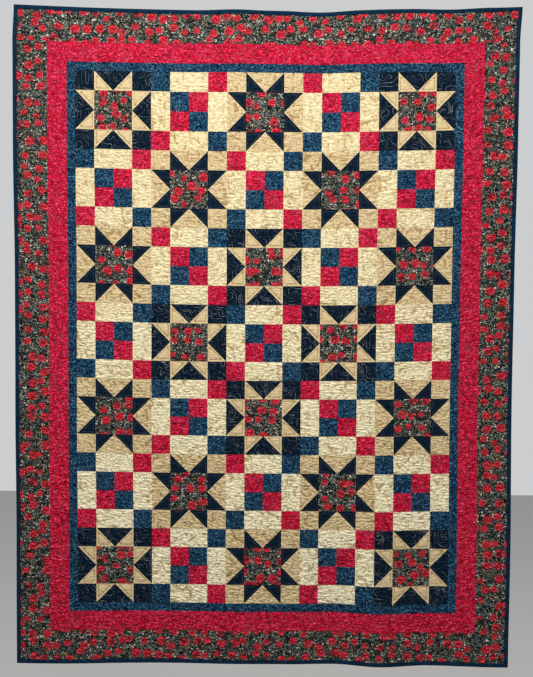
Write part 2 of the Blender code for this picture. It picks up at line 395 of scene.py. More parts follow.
def wandering_line(rng):
    """One line that wanders all over the quilt by going round a random tree, as flat places."""
    rows = round((LENGTH - 2 * BINDING) / RUN_SPACING / 2)
    columns = round((WIDTH - 2 * BINDING) / RUN_SPACING / 2)
    links = wandering_tree(rows, columns, rng)
    turns = ((0, 1), (1, 0), (0, -1), (-1, 0))
    cell, heading = (0, 0), 0
    places = []
    for _ in range(4 * rows * columns):
        places.append(cell)
        row, column = cell
        for turn in (1, 0, -1):
            way = (heading + turn) % 4
            down, across = turns[way]
            ahead = (row + down, column + across)
            here, there = (row // 2, column // 2), (ahead[0] // 2, ahead[1] // 2)
            if not (0 <= ahead[0] < 2 * rows and 0 <= ahead[1] < 2 * columns):
                continue
            if here != there and (here, there) not in links:
                continue
            if here == there and tree_between(cell, ahead, links):
                continue
            cell, heading = ahead, way
            break
    spots = np.array(places, float)[:, ::-1] + 0.5
    spots += rng.normal(0, RUN_WANDER / RUN_SPACING, spots.shape)
    spots[1:-1] = spots[:-2] / 4 + spots[1:-1] / 2 + spots[2:] / 4
    size = np.array([WIDTH, LENGTH]) - 2 * BINDING
    return spots / (2 * columns, 2 * rows) * size + (-size[0] / 2, BINDING)


def tree_between(one, other, links):
    """Whether the tree runs between two neighbouring places in the same of its cells."""
    cell = (one[0] // 2, one[1] // 2)
    if one[0] == other[0]:
        side = 1 if one[0] % 2 else -1
        beyond = (cell[0] + side, cell[1])
    else:
        side = 1 if one[1] % 2 else -1
        beyond = (cell[0], cell[1] + side)
    return (cell, beyond) in links


def curl_up(points, rng):
    """Winds the lines round many places, as a hand that sews curls does."""
    columns, rows = round(WIDTH / CURL_PITCH), round(LENGTH / CURL_PITCH)
    for row in range(rows):
        for column in range(columns):
            shift = rng.uniform(-CURL_JITTER, CURL_JITTER, 2)
            middle = shift + (
                (column + 0.25 + 0.5 * (row % 2)) / columns * WIDTH - WIDTH / 2,
                (row + 0.5) / rows * LENGTH,
            )
            reach, turn = rng.uniform(*CURL_REACH), rng.uniform(*CURL_TURN) * rng.choice([-1, 1])
            near = np.flatnonzero(
                (abs(points[:, 0] - middle[0]) < reach) & (abs(points[:, 1] - middle[1]) < reach)
            )
            away = points[near] - middle
            distance = np.linalg.norm(away, axis=1)
            angle = turn * ease(1 - distance / reach)
            cosine, sine = np.cos(angle), np.sin(angle)
            points[near, 0] = middle[0] + away[:, 0] * cosine - away[:, 1] * sine
            points[near, 1] = middle[1] + away[:, 0] * sine + away[:, 1] * cosine
    return points


def echo_triangles():
    """A triangle of quilting just inside each point of each star, as closed lines."""
    lines = []
    for row, column, turn, side in np.ndindex(BLOCK_ROWS, BLOCK_COLUMNS, 4, 2):
        if (row + column) % 2:
            continue
        near = 1 + 2 * side
        corners = np.array([(near, 0.0), (near, 1.0), (2.0, 1.0)]) - 2
        for _ in range(turn):
            corners = np.stack([-corners[:, 1], corners[:, 0]], axis=1)
        corners = corners + 2 + BLOCK_PATCHES * np.array([column, row])
        corners = corners * (PATCH_ACROSS, PATCH_DOWN) + (-PANEL_WIDTH / 2, MARGIN)
        sides = np.linalg.norm(np.roll(corners, -1, axis=0) - np.roll(corners, 1, axis=0), axis=1)
        middle = (corners * sides[:, None]).sum(axis=0) / sides.sum()
        one, other = corners[1] - corners[0], corners[2] - corners[0]
        inner_radius = abs(one[0] * other[1] - one[1] * other[0]) / sides.sum()
        inset = middle + (corners - middle) * (1 - ECHO_INSET / inner_radius)
        lines.append(np.concatenate([inset, inset[:1]]))
    return lines


def even_steps(line, step):
    """Points at even steps along a line, and the way that it runs at each."""
    lengths = np.concatenate([[0], np.cumsum(np.linalg.norm(np.diff(line, axis=0), axis=1))])
    places = np.arange(step / 2, lengths[-1], step)
    points, ahead, behind = (
        np.stack([np.interp(places + shift, lengths, line[:, axis]) for axis in (0, 1)], axis=1)
        for shift in (0, step / 4, -step / 4)
    )
    way = ahead - behind
    return points, way / np.maximum(np.linalg.norm(way, axis=1, keepdims=True), 1e-9)


def in_star_point(points):
    """Whether each place lies in a point of a star."""
    from_middle = abs(points - (0, LENGTH / 2))
    inside = (from_middle < (PANEL_WIDTH / 2, PANEL_LENGTH / 2)).all(axis=1)
    number, _ = patches_at(points[:, 0], points[:, 1])
    on_side = number % NUMBERS_PER_BLOCK - FIRST_SIDE
    on_star_side = (on_side >= 0) & (on_side < FIRST_CHAIN_SIDE - FIRST_SIDE)
    return inside & on_star_side & (on_side % PATCHES_PER_SIDE > 0)


def quilting(step, free_line, triangles):
    """Places at even steps along all the quilting, and the way that each line runs there."""
    points, ways = even_steps(free_line, step)
    kept = ~in_star_point(points)
    kept &= abs(points[:, 0]) < WIDTH / 2 - BINDING - STITCH_LENGTH
    kept &= abs(points[:, 1] - LENGTH / 2) < LENGTH / 2 - BINDING - STITCH_LENGTH
    echoes = [even_steps(line, step) for line in triangles]
    echo_points, echo_ways = (np.concatenate(part) for part in zip(*echoes))
    return np.concatenate([points[kept], echo_points]), np.concatenate([ways[kept], echo_ways])


def unevenness(shape, across, down, cycles, rng):
    """Smooth random lumps over the height map, mostly between -1 and 1.

    The sizes are those of a lump. With cycles 1 the lumps follow each other down the map as ridges.
    """
    waves_down = abs(np.fft.fftfreq(shape[0], MAP_STEP)[:, None]) * down
    waves_across = np.fft.rfftfreq(shape[1], MAP_STEP)[None, :] * across
    spectrum = np.fft.rfft2(rng.standard_normal(shape))
    spectrum *= np.exp(-4 * (waves_down - cycles) ** 2 - 2 * waves_across**2)
    lumps = np.fft.irfft2(spectrum, s=shape)
    return lumps / (2 * lumps.std())


def map_places(shape):
    """The flat place of each point of the height map."""
    down, across = np.meshgrid(
        np.arange(shape[0]) * MAP_STEP, np.arange(shape[1]) * MAP_STEP - WIDTH / 2, indexing="ij"
    )
    return np.stack([across.ravel(), down.ravel()], axis=1)


def seam_map(places, shape):
    """Whether each point of the height map lies on a seam, and how far it is from the edge."""
    across, down = places.T.reshape(2, *shape)
    from_edge = np.minimum(WIDTH / 2 - abs(across), np.minimum(down, LENGTH - down))
    region = np.digitize(from_edge, [OUTER_SEAM, MIDDLE_SEAM, MARGIN])
    number, _ = patches_at(np.clip(across, -PANEL_WIDTH / 2, PANEL_WIDTH / 2 - 1e-6), down)
    region = np.where(region == len(BORDER_CELLS), number + len(BORDER_CELLS), region)
    seams = np.zeros(shape, bool)
    seams[1:] |= region[1:] != region[:-1]
    seams[:, 1:] |= region[:, 1:] != region[:, :-1]
    return seams, from_edge


def height_map(points, rng):
    """How far the face stands proud of its seams, puffed up by the batting between its stitches."""
    shape = (round(LENGTH / MAP_STEP) + 1, round(WIDTH / MAP_STEP) + 1)
    stitched = np.zeros(shape, bool)
    stitched[
        np.rint(points[:, 1] / MAP_STEP).astype(int),
        np.rint((points[:, 0] + WIDTH / 2) / MAP_STEP).astype(int),
    ] = True
    places = map_places(shape)
    seams, from_edge = seam_map(places, shape)
    stitched |= from_edge < BINDING_PROFILE[0][0]
    pressure = PUFF_PRESSURE * (1 + PUFF_UNEVENNESS * unevenness(shape, PUFF_LUMP, PUFF_LUMP, 0, rng))
    height = np.zeros(shape)
    for _ in range(PUFF_SPREADS):
        around = np.zeros(shape)
        around[1:-1, 1:-1] = (
            height[:-2, 1:-1] + height[2:, 1:-1] + height[1:-1, :-2] + height[1:-1, 2:]
        ) / 4
        height = around + pressure
        height[stitched] = 0
        height[seams] = np.minimum(height[seams], SEAM_HEIGHT)
    ripples = unevenness(shape, *RIPPLE_SIZE, 1, rng)
    ripples *= np.where(in_star_point(places), STAR_POINT_RIPPLE, 1.0).reshape(shape)
    return PUFF * np.tanh(height / PUFF) * (1 + RIPPLE_SHARE * ripples)


def sampled(grid, rows, columns):
    """A grid's values between its points, at places counted in rows and columns."""
    rows = np.clip(rows, 0, grid.shape[0] - 1.001)
    columns = np.clip(columns, 0, grid.shape[1] - 1.001)
    row, column = rows.astype(int), columns.astype(int)
    down, across = rows - row, columns - column
    upper = grid[row, column] * (1 - across) + grid[row, column + 1] * across
    lower = grid[row + 1, column] * (1 - across) + grid[row + 1, column + 1] * across
    return upper * (1 - down) + lower * down


def height_on(down_lines, across_lines, heights, down, across):
    """How high the faces of a grid stand at each flat place."""
    rows = np.interp(down, down_lines, np.arange(len(down_lines)))
    columns = np.interp(across, across_lines, np.arange(len(across_lines)))
    return sampled(heights, rows, columns)


def face_points(across, down, proud):
    """Where places of the face hang, at their full detail."""
    height = sampled(proud, down / MAP_STEP, (across + WIDTH / 2) / MAP_STEP)
    return hang(across, down, -height)


def face_normals(across, down, proud):
    """Which way the face looks at each place, at the full detail of the height map."""
    reach = MAP_STEP / 2
    right = face_points(across + reach, down, proud) - face_points(across - reach, down, proud)
    downward = face_points(across, down + reach, proud) - face_points(across, down - reach, proud)
    normals = np.cross(downward, right)
    return normals / np.linalg.norm(normals, axis=1, keepdims=True)


def linear(red, green, blue):
    """A colour in linear light, from the 0 to 255 of a screen."""
    screen = np.array([red, green, blue]) / 255
    light = np.where(screen <= 0.04045, screen / 12.92, ((screen + 0.055) / 1.055) ** 2.4)
    return (*light.tolist(), 1.0)


class ClothNodes:
    """The nodes of one cloth's material. Most calls make a node and give the socket that it fills."""

    def __init__(self, name):
        self.material = bpy.data.materials.new(name)
        self.material.use_nodes = True
        self.tree = self.material.node_tree
        self.shader = self.tree.nodes["Principled BSDF"]
        self.flat = self.attribute("cloth", "Vector")
        self.patch = self.attribute("patch", "Fac")
        self.cut = self.vector("MULTIPLY_ADD", self.patch, (7.3, 4.1, 0.0), self.flat)

    def put(self, socket, value):
        """Fills a socket from another socket, or with a plain value."""
        if isinstance(value, bpy.types.NodeSocket):
            self.tree.links.new(value, socket)
        else:
            socket.default_value = value

    def node(self, kind, *values, **settings):
        """A new node with its settings made and its first sockets filled."""
        node = self.tree.nodes.new("ShaderNode" + kind)
        for setting, choice in settings.items():
            setattr(node, setting, choice)
        for socket, value in zip(node.inputs, values):
            self.put(socket, value)
        return node

    def attribute(self, name, output):
        return self.node("Attribute", attribute_name=name).outputs[output]

    def math(self, operation, *values):
        return self.node("Math", *values, operation=operation).outputs[0]

    def vector(self, operation, *values):
        return self.node("VectorMath", *values, operation=operation).outputs[0]

    def parts(self, vector):
        """How far across and how far down a vector goes."""
        return self.node("SeparateXYZ", vector).outputs[:2]

    def stretched(self, vector, across, down):
        """Coordinates in which lumps of the sizes given are one unit across and down."""
        return self.vector("MULTIPLY", vector, (1 / across, 1 / down, 1.0))

    def noise(self, vector, detail=2.0, roughness=0.5, distortion=0.0):
        node = self.node("TexNoise", vector)
        node.inputs["Scale"].default_value = 1.0
        node.inputs["Detail"].default_value = detail
        node.inputs["Roughness"].default_value = roughness
        node.inputs["Distortion"].default_value = distortion
        return node.outputs["Fac"]

    def lumps(self, across, down, **look):
        """Noise on the cloth as cut for each patch, with lumps of the sizes given."""
        return self.noise(self.stretched(self.cut, across, down), **look)

    def cells(self, vector, randomness, *outputs):
        node = self.node("TexVoronoi", vector, voronoi_dimensions="2D")
        node.inputs["Scale"].default_value = 1.0
        node.inputs["Randomness"].default_value = randomness
        return [node.outputs[output] for output in outputs]

    def chance(self, value):
        """A random number from 0 to 1 for each value."""
        node = self.node("TexWhiteNoise", noise_dimensions="1D")
        self.put(node.inputs["W"], value)
        return node.outputs["Value"]

    def rise(self, value, low, high, start=0.0, end=1.0):
        """A smooth rise from start to end as the value goes from low to high."""
        values = (value, low, high, start, end)
        return self.node("MapRange", *values, interpolation_type="SMOOTHSTEP").outputs[0]

    def mix(self, share, one, other, how="MIX"):
        """One colour going over to another."""
        node = self.node("Mix", share, data_type="RGBA", blend_type=how)
        self.put(node.inputs[6], one)
        self.put(node.inputs[7], other)
        return node.outputs[2]

    def shade(self, colour, by):
        """A colour times a grey level."""
        return self.mix(1.0, colour, self.node("CombineColor", by, by, by).outputs[0], "MULTIPLY")

    def finish(self, colour, roughness, crinkle, weave, valley_shade):
        """Sets how the cloth looks, with its crinkles, its weave and a painted shade in the low
        valleys along the quilting and the seams.
        """
        # Painted shade: where the face stands low between its puffs, the cloth goes over to the
        # darker valley colour
        low = self.rise(self.attribute("proud", "Fac"), 0.0, SHADED_VALLEY_HEIGHT, 1.0, 0.0)
        colour = self.mix(low, colour, valley_shade)
        threads = self.vector("MULTIPLY", self.flat, (math.pi / weave, math.pi / weave, 0.0))
        warp, weft = (self.math("SINE", part) for part in self.parts(threads))
        over = self.math("MULTIPLY", warp, weft)
        slub = self.noise(self.stretched(self.flat, 0.0012, 0.009), detail=3.0)
        faded = self.math("MULTIPLY_ADD", slub, 0.16, 0.92)
        # Painted shade of the weave: a little darker where its threads dip under each other, on top
        # of the slub's own tone
        weave_shade_and_slub = self.math("MULTIPLY_ADD", over, 0.05, faded)
        self.put(self.shader.inputs["Base Color"], self.shade(colour, weave_shade_and_slub))
        rough = self.math("MULTIPLY_ADD", slub, -0.12, roughness + 0.06)
        self.put(self.shader.inputs["Roughness"], rough)
        self.shader.inputs["Sheen Weight"].default_value = 0.03
        self.shader.inputs["Sheen Roughness"].default_value = 0.6
        self.shader.inputs["Specular IOR Level"].default_value = 0.08
        ripples = self.noise(self.stretched(self.flat, 0.016, 0.0065), detail=3.0, distortion=0.6)
        height = self.math("MULTIPLY", ripples, crinkle)
        height = self.math("MULTIPLY_ADD", over, weave * 0.12, height)
        height = self.math("MULTIPLY_ADD", slub, weave * 0.25, height)
        bump = self.node("Bump")
        bump.inputs["Strength"].default_value = 1.0
        bump.inputs["Distance"].default_value = 1.0
        self.put(bump.inputs["Height"], height)
        self.put(self.shader.inputs["Normal"], bump.outputs[0])
        return self.material


def cream_cotton():
    """Ivory cotton with soft tan streaks, with painted light that makes it whiter in the lower rows.
    """
    cloth = ClothNodes("cream_cotton")
    streaks = cloth.lumps(0.017, 0.11, detail=3.0, distortion=0.3)
    clouds = cloth.lumps(0.018, 0.018)
    colour = cloth.mix(cloth.rise(clouds, 0.3, 0.7), linear(248, 240, 203), linear(238, 224, 179))
    colour = cloth.mix(cloth.rise(streaks, 0.57, 0.72), colour, linear(222, 186, 130))
    tint = cloth.chance(cloth.patch)
    colour = cloth.mix(cloth.math("MULTIPLY", tint, 0.3), colour, linear(236, 217, 165))
    # Painted light: the cream goes paler and less yellow towards the bottom, standing in for the
    # cooler light there
    painted_lower_light = cloth.rise(cloth.parts(cloth.flat)[1], 0.3, 2.0, 0.0, 0.8)
    colour = cloth.mix(painted_lower_light, colour, linear(254, 249, 217))
    # The last colour is painted shade for the valleys along the quilting
    return cloth.finish(colour, 0.86, 0.0010, WEAVE, linear(182, 148, 96))


def tan_cotton():
    """Even tan cotton."""
    cloth = ClothNodes("tan_cotton")
    clouds = cloth.lumps(0.012, 0.012, detail=3.0)
    colour = cloth.mix(cloth.rise(clouds, 0.3, 0.7), linear(229, 210, 168), linear(218, 196, 151))
    # The last colour is painted shade for the valleys along the quilting
    return cloth.finish(colour, 0.86, 0.0008, WEAVE, linear(160, 124, 74))


def navy_cotton(name, colour, pale):
    """Very dark blue cotton."""
    cloth = ClothNodes(name)
    clouds = cloth.lumps(0.010, 0.010, detail=4.0, roughness=0.7)
    colour = cloth.mix(cloth.rise(clouds, 0.35, 0.75), colour, pale)
    # The last colour is painted shade for the valleys along the quilting
    return cloth.finish(colour, 0.84, 0.0005, WEAVE, linear(4, 12, 26))


def blue_cotton():
    """Blue cotton, mottled and flecked with paler blue."""
    cloth = ClothNodes("blue_cotton")
    clouds = cloth.lumps(0.016, 0.016, detail=4.0, roughness=0.65)
    flecks = cloth.lumps(0.0056, 0.0056, distortion=1.4)
    colour = cloth.mix(cloth.rise(clouds, 0.35, 0.7), linear(0, 17, 44), linear(2, 46, 82))
    colour = cloth.mix(cloth.rise(flecks, 0.525, 0.63, 0.0, 0.9), colour, linear(72, 142, 182))
    # The last colour is painted shade for the valleys along the quilting
    return cloth.finish(colour, 0.84, 0.0009, WEAVE, linear(2, 28, 52))


def crimson_cotton():
    """Crimson cotton, mottled lighter and darker."""
    cloth = ClothNodes("crimson_cotton")
    clouds = cloth.lumps(0.014, 0.014, detail=4.0, roughness=0.65)
    flecks = cloth.lumps(0.0062, 0.0062, distortion=1.4)
    colour = cloth.mix(cloth.rise(clouds, 0.3, 0.7), linear(146, 0, 27), linear(222, 0, 56))
    colour = cloth.mix(cloth.rise(flecks, 0.52, 0.64, 0.0, 0.9), colour, linear(255, 90, 134))
    # The last colour is painted shade for the valleys along the quilting
    return cloth.finish(colour, 0.84, 0.0009, WEAVE, linear(128, 0, 28))


def rose_print():
    """Red roses on a black ground thick with grey leaves and pale and tan buds."""
    cloth = ClothNodes("rose_print_cotton")
    shades = cloth.lumps(0.010, 0.010)
    ground = cloth.mix(cloth.rise(shades, 0.4, 0.6), linear(1, 4, 7), linear(10, 19, 22))
    for size, low, colour in (
        (0.0096, 0.515, linear(84, 104, 102)),
        (0.0104, 0.62, linear(156, 126, 92)),
        (0.0078, 0.62, linear(246, 242, 230)),
    ):
        leaves = cloth.lumps(size, size * 0.93, detail=1.0, distortion=1.8)
        ground = cloth.mix(cloth.rise(leaves, low, low + 0.06), ground, colour)

    pitch = 0.043
    spread = cloth.stretched(cloth.cut, pitch, pitch)
    distance, place, chance = cloth.cells(spread, 0.62, "Distance", "Position", "Color")
    across, down = cloth.parts(cloth.vector("SUBTRACT", spread, place))
    angle = cloth.math("ARCTAN2", down, across)
    lucky = cloth.node("SeparateColor", chance)
    size = cloth.math("MULTIPLY_ADD", lucky.outputs[0], 0.13, 0.252)
    turned = cloth.math("MULTIPLY_ADD", angle, 5.0, cloth.math("MULTIPLY", lucky.outputs[1], 6.0))
    petals = cloth.math("SINE", turned)
    ragged = cloth.lumps(0.0075, 0.0075, distortion=0.8)
    edge = cloth.math("MULTIPLY_ADD", petals, 0.02, cloth.math("MULTIPLY_ADD", ragged, 0.32, size))
    share = cloth.math("DIVIDE", distance, cloth.math("SUBTRACT", edge, 0.16))
    winding = cloth.math("MULTIPLY_ADD", share, 9.0, cloth.math("MULTIPLY", angle, 2.0))
    curl = cloth.math("SINE", winding)
    red = cloth.mix(cloth.rise(curl, -0.8, 0.8), linear(168, 16, 36), linear(236, 68, 84))
    red = cloth.mix(cloth.rise(share, 0.15, 0.4, 0.55, 0.0), red, linear(132, 14, 30))
    colour = cloth.mix(cloth.rise(share, 0.9, 1.04, 1.0, 0.0), ground, red)
    # The last colour is painted shade for the valleys along the quilting
    return cloth.finish(colour, 0.86, 0.0005, WEAVE, linear(34, 26, 26))


def backing_cotton():
    """Plain unbleached cotton for the back."""
    cloth = ClothNodes("backing_cotton")
    clouds = cloth.noise(cloth.stretched(cloth.flat, 0.05, 0.05), detail=3.0)
    colour = cloth.mix(cloth.rise(clouds, 0.3, 0.7), linear(226, 216, 192), linear(214, 202, 175))
    return cloth.finish(colour, 0.88, 0.0026, 0.0005, linear(196, 182, 152))


def thread_material(name, dim, bright):
    """Quilting thread, with painted shade where it has sunk into the cloth, and its bright colour,
    partly a painted highlight, where it lies on top.
    """
    cloth = ClothNodes(name)
    sunk_shade = cloth.noise(cloth.stretched(cloth.flat, 0.045, 0.045), detail=3.0, roughness=0.7)
    # Painted shade and highlight: a random mix of the dim sunk colour and the bright top colour
    colour = cloth.mix(cloth.rise(sunk_shade, 0.42, 0.66), linear(*dim), linear(*bright))
    return cloth.finish(colour, 0.7, 0.0, 0.0006, linear(*dim))


def add_object(name, data):
    """A new object in the scene, from its mesh, light or camera."""
    thing = bpy.data.objects.new(name, data)
    bpy.context.scene.collection.objects.link(thing)
    return thing


def make_piece(name, sheet, quads, triangles, patches, material):
    """An object on the quilt's body, from the points of a sheet and the corners of its faces."""
    mesh = bpy.data.meshes.new(name)
    corners = np.concatenate([quads.ravel(), triangles.ravel()]).astype(np.int32)
    used, corners = np.unique(corners, return_inverse=True)
    sizes = np.concatenate([np.full(len(quads), 4), np.full(len(triangles), 3)])
    mesh.vertices.add(len(used))
    mesh.vertices.foreach_set("co", sheet.points[used].astype(np.float32).ravel())
    mesh.loops.add(len(corners))
    mesh.loops.foreach_set("vertex_index", corners.astype(np.int32).ravel())
    mesh.polygons.add(len(sizes))
    mesh.polygons.foreach_set("loop_start", (np.cumsum(sizes) - sizes).astype(np.int32))
    mesh.update(calc_edges=True)
    spots = np.column_stack([sheet.flat[used], np.zeros(len(used))])
    for label, kind, domain, field, values in (
        ("cloth", "FLOAT_VECTOR", "POINT", "vector", spots),
        ("proud", "FLOAT", "POINT", "value", sheet.proud[used] / PUFF),
        ("patch", "FLOAT", "FACE", "value", patches),
    ):
        attribute = mesh.attributes.new(label, kind, domain)
        attribute.data.foreach_set(field, values.astype(np.float32).ravel())
    mesh.materials.append(material)
    mesh.shade_smooth()
    if sheet.normals is not None:
        mesh.normals_split_custom_set_from_vertices(sheet.normals[used])
    piece = add_object(name, mesh)
    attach(piece, "root")
    return piece


def cell_corners(rows, columns, width):
    """The corners of every cell of a grid, anticlockwise as seen from in front."""
    row, column = np.meshgrid(rows, columns, indexing="ij")
    corner = (row * width + column).ravel()
    return np.stack([corner, corner + width, corner + width + 1, corner + 1], axis=1)


def centre_faces():
    """The cells of the patchwork, in quads, and in triangles where a star point's slope cuts them."""
    first_row, first_column = ROW_SEAMS[3], COLUMN_SEAMS[3]
    last_row, last_column = ROW_SEAMS[4], COLUMN_SEAMS[4]
    width = len(ACROSS_LINES)
    cells = cell_corners(np.arange(first_row, last_row), np.arange(first_column, last_column), width)
    row, column = cells[:, 0] // width, cells[:, 0] % width
    left, right = ACROSS_LINES[column], ACROSS_LINES[column + 1]
    top, bottom = DOWN_LINES[row], DOWN_LINES[row + 1]
    across, down = (left + right) / 2, (top + bottom) / 2
    high, wide = (bottom - top) * NEAR_SIDE, (right - left) * NEAR_SIDE
    above, _ = patches_at(across, top + high)
    below, _ = patches_at(across, bottom - high)
    before, _ = patches_at(left + wide, down)
    after, _ = patches_at(right - wide, down)
    whole = (above == below) & (before == after)
    falling = ~whole & (above == after)
    rising = ~whole & (above == before)
    a, b, c, d = cells.T
    halves = ((a, c, d), falling), ((a, b, c), falling), ((a, b, d), rising), ((b, c, d), rising)
    triangles = np.concatenate([np.stack(half, axis=1)[cut] for half, cut in halves])
    return cells[whole], triangles


def dress_centre(face, materials):
    """One piece for each cloth of the patchwork, with all the patches cut from it."""
    quads, triangles = centre_faces()
    quad_patch, quad_cloth = patches_at(*face.flat[quads].mean(axis=1).T)
    triangle_patch, triangle_cloth = patches_at(*face.flat[triangles].mean(axis=1).T)
    for cloth, colour in enumerate(("cream", "tan", "navy", "blue", "crimson", "rose")):
        in_quads, in_triangles = quad_cloth == cloth, triangle_cloth == cloth
        patches = np.concatenate([quad_patch[in_quads], triangle_patch[in_triangles]])
        shades = patches * GOLDEN_SHARE % 1
        corners = quads[in_quads], triangles[in_triangles]
        piece = make_piece(colour + "_patches", face, *corners, shades, materials[cloth])
        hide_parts("pieced_centre")


def dress_strip(name, rows, columns, flat_size, cloth_slot, material, face):
    """A strip of a border, from the cells of the fine grid between two rows and two columns."""
    cells = cell_corners(np.arange(*rows), np.arange(*columns), len(ACROSS_LINES))
    shades = np.full(len(cells), sum(name.encode()) * GOLDEN_SHARE % 1)
    piece = make_piece(name + "_cloth", face, cells, NO_TRIANGLES, shades, material)
    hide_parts(name)


def dress_borders(face, materials):
    """The three borders, each with its sides between its top and bottom strips."""
    rings = (
        ("outer_border", 0, OUTER_BORDER, BINDING, "rose_print_cotton", materials[ROSE]),
        ("middle_border", 1, MIDDLE_BORDER, OUTER_SEAM, "crimson_cotton", materials[CRIMSON]),
        ("inner_border", 2, INNER_BORDER, MIDDLE_SEAM, "blue_cotton", materials[BLUE]),
    )
    for name, ring, strip_width, inset, cloth_slot, material in rings:
        top, bottom = ROW_SEAMS[ring : ring + 2], ROW_SEAMS[6 - ring : 8 - ring]
        left, right = COLUMN_SEAMS[ring : ring + 2], COLUMN_SEAMS[6 - ring : 8 - ring]
        full, between = (left[0], right[1]), (top[1], bottom[0])
        across_size = (WIDTH - 2 * inset, strip_width)
        side_size = (strip_width, LENGTH - 2 * inset - 2 * strip_width)
        rest = (cloth_slot, material, face)
        dress_strip(name + "_top", top, full, across_size, *rest)
        dress_strip(name + "_bottom", bottom, full, across_size, *rest)
        dress_strip(name + "_left", between, left, side_size, *rest)
        dress_strip(name + "_right", between, right, side_size, *rest)


def dress_binding(rng, material):
    """The binding's four lengths, each folded over the edge and mitred at both ends."""
    profile = np.array(BINDING_PROFILE)
    inward, depth = profile[:, 0], profile[:, 1]
    pull = np.sin(np.linspace(0, math.pi, len(profile)))
    folded = np.linalg.norm(np.diff(profile, axis=0), axis=1).sum()
    for name in ("top", "bottom", "left", "right"):
        length = WIDTH if name in ("top", "bottom") else LENGTH
        steps = round(length / BINDING_STEP)
        share = np.linspace(0, 1, steps + 1)
        along = inward[:, None] + share[None, :] * (length - 2 * inward[:, None])
        rough = rng.standard_normal(steps + BINDING_WAVE_STEPS)
        wave = np.convolve(rough, np.hanning(BINDING_WAVE_STEPS), mode="valid")[: steps + 1]
        wave = wave / wave.std() * BINDING_WAVE
        deep = depth[:, None] + wave[None, :] * pull[:, None] * BINDING_WAVE_SHARE
        inset = np.broadcast_to(inward[:, None], along.shape)
        if name == "top":
            across, down = along - WIDTH / 2, inset
        elif name == "bottom":
            across, down = WIDTH / 2 - along, LENGTH - inset
        elif name == "left":
            across, down = inset - WIDTH / 2, LENGTH - along
        else:
            across, down = WIDTH / 2 - inset, along
        points = hang(across.ravel(), down.ravel(), deep.ravel())
        round_edge = np.linspace(0, folded, len(profile)).repeat(steps + 1)
        flat = np.stack([along.ravel(), round_edge], axis=1)
        sheet = Sheet(points, flat, np.full(len(flat), PUFF), None)
        cells = cell_corners(np.arange(len(profile) - 1), np.arange(steps), steps + 1)[:, ::-1]
        shades = np.full(len(cells), 0.5)
        piece = make_piece(f"binding_{name}_cloth", sheet, cells, NO_TRIANGLES, shades, material)
        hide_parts(f"binding_{name}")


def dress_back(proud, material):
    """The backing, a plain sheet that shows the quilting softly. Gives the grid of its depths."""
    width, length = WIDTH - 2 * (BINDING - TUCK), LENGTH - 2 * (BINDING - TUCK)
    across_lines = np.linspace(-width / 2, width / 2, round(width / BACKING_CELL) + 1)
    down_lines = np.linspace(0, length, round(length / BACKING_CELL) + 1) + BINDING - TUCK
    down, across = np.meshgrid(down_lines, across_lines, indexing="ij")
    puffs = sampled(proud, down / MAP_STEP, (across + WIDTH / 2) / MAP_STEP)
    depths = SEAM_THICKNESS + BACK_SHARE * puffs
    flat = np.stack([across.ravel(), down.ravel()], axis=1)
    rows, columns = len(down_lines) - 1, len(across_lines) - 1
    cells = cell_corners(np.arange(rows), np.arange(columns), columns + 1)[:, ::-1]
    normals = -face_normals(*flat.T, -BACK_SHARE * proud)
    sheet = Sheet(hang(*flat.T, depths.ravel()), flat, np.full(len(flat), PUFF), normals)
    piece = make_piece("backing", sheet, cells, NO_TRIANGLES, np.zeros(len(cells)), material)
    return down_lines, across_lines, depths


def thread_on(points):
    """The kind of thread at each place of the quilt's face, which follows from the cloth."""
    from_edge = np.minimum(WIDTH / 2 - abs(points[:, 0]), LENGTH / 2 - abs(points[:, 1] - LENGTH / 2))
    _, cloth = patches_at(points[:, 0], points[:, 1])
    cloth = np.where(in_star_point(points) & (cloth == NAVY), DARK_STAR_POINT, cloth)
    in_border = [from_edge < OUTER_SEAM, from_edge < MIDDLE_SEAM, from_edge < MARGIN]
    return np.select(in_border, [ROSE, CRIMSON, BLUE], cloth)


def stitch_corners(points, ways, length):
    """The four corners of each stitch on the flat cloth, a short flat length of thread."""
    aside = np.stack([-ways[:, 1], ways[:, 0]], axis=1)
    spots = [
        points + ways * length / 2 * forwards + aside * STITCH_WIDTH / 2 * sideways
        for forwards, sideways in ((-1, -1), (-1, 1), (1, 1), (1, -1))
    ]
    return np.stack(spots, axis=1).reshape(-1, 2)


def lay_stitches(name, flat, depth, threads, kinds):
    """A piece of all the stitches on one side, from their corners, each of its own kind of thread."""
    quads = np.arange(len(flat)).reshape(-1, 4)
    sheet = Sheet(hang(*flat.T, depth), flat, np.full(len(flat), PUFF), None)
    piece = make_piece(name, sheet, quads, NO_TRIANGLES, np.zeros(len(quads)), threads[0])
    for thread in threads[1:]:
        piece.data.materials.append(thread)
    piece.data.polygons.foreach_set("material_index", kinds.astype(np.int32))


def add_camera():
    """The camera, where the picture was taken from."""
    data = bpy.data.cameras.new("camera")
    data.sensor_width = 36.0
    data.lens = data.sensor_width * FOCAL_PIXELS / max(IMAGE_SIZE)
    camera = add_object("camera", data)
    camera.location = CAMERA_PLACE
    camera.rotation_euler = [math.radians(angle) for angle in CAMERA_ANGLES]
    bpy.context.scene.camera = camera


def add_lamp(lamp):
    """A large soft light that faces a point."""
    data = bpy.data.lights.new(lamp.name, "AREA")
    data.shape = "RECTANGLE"
    data.size, data.size_y = lamp.size
    data.energy = lamp.power
    data.color = lamp.colour
    light = add_object(lamp.name, data)
    light.location = lamp.place
    way = Vector(lamp.target) - Vector(lamp.place)
    light.rotation_euler = way.to_track_quat("-Z", "Y").to_euler()


